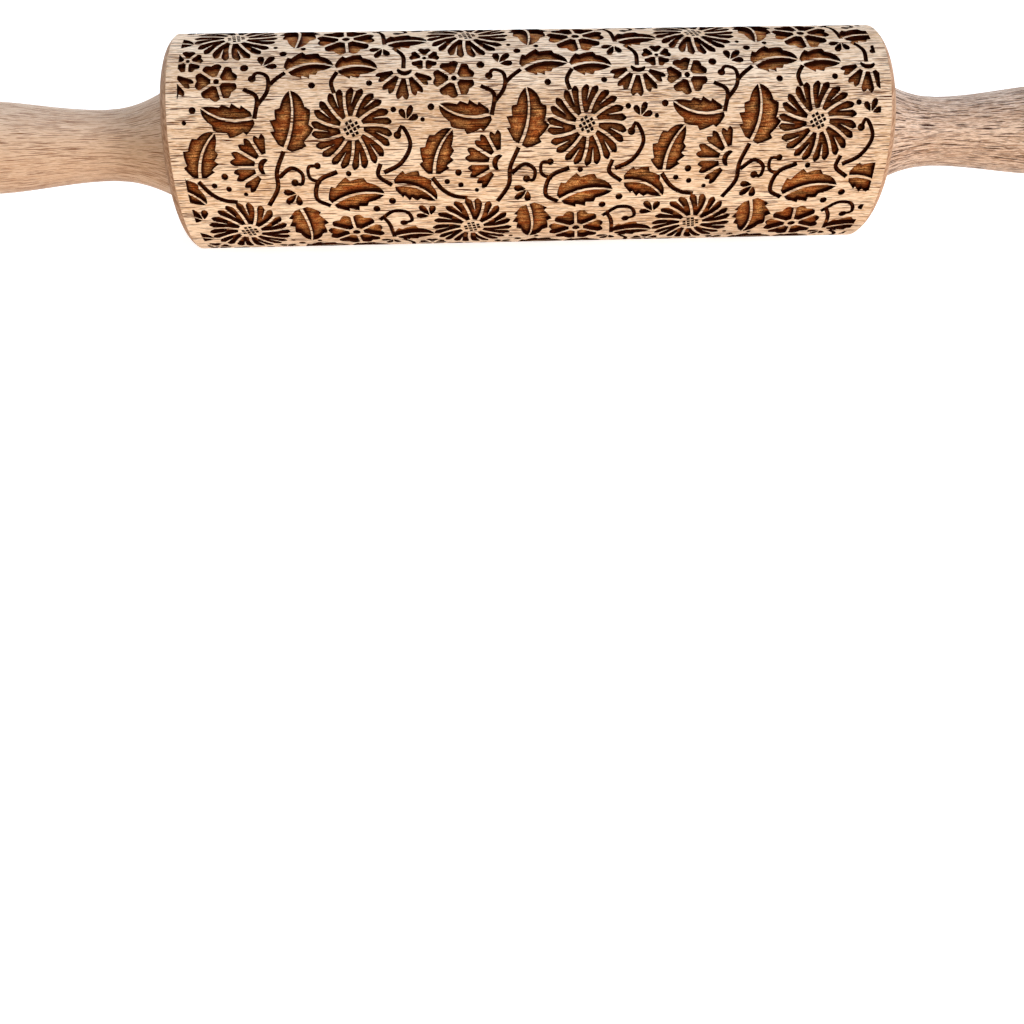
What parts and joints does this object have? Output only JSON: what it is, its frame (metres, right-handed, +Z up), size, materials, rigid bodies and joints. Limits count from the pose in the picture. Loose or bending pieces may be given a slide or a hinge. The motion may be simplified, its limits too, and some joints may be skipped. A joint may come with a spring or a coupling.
{
  "type": "embossed rolling pin",
  "caption": "Engraved wooden rolling pin whose barrel spins on a steel rod between two turned handles.",
  "frame": {"origin": "on the worktop under the middle of the barrel, at the middle of the bounding box's bottom face", "axes": "+X along the pin from the left handle to the right one, +Z up; the barrel's axis is parallel to X, one barrel radius up"},
  "size_m": [0.4312, 0.0738, 0.0737],
  "materials": {
    "barrel_beech": "sanded bare beech with burnt engraving",
    "handle_beech": "sanded bare beech",
    "rod_steel": "bright drawn",
    "bush_nylon": "natural nylon"
  },
  "bodies": {
    "spindle": {"axle_rod": "rod_steel", "left_handle": "handle_beech", "right_handle": "handle_beech", "left_thrust_washer": "bush_nylon", "right_thrust_washer": "bush_nylon"},
    "barrel": {"barrel": "barrel_beech", "left_bush": "bush_nylon", "right_bush": "bush_nylon"}
  },
  "joints": [
    {"name": "barrel_spin", "type": "hinge", "parent": "spindle", "child": "barrel", "pos_m": [0, 0, 0.03686], "axis": [1, 0, 0], "continuous": true}
  ]
}
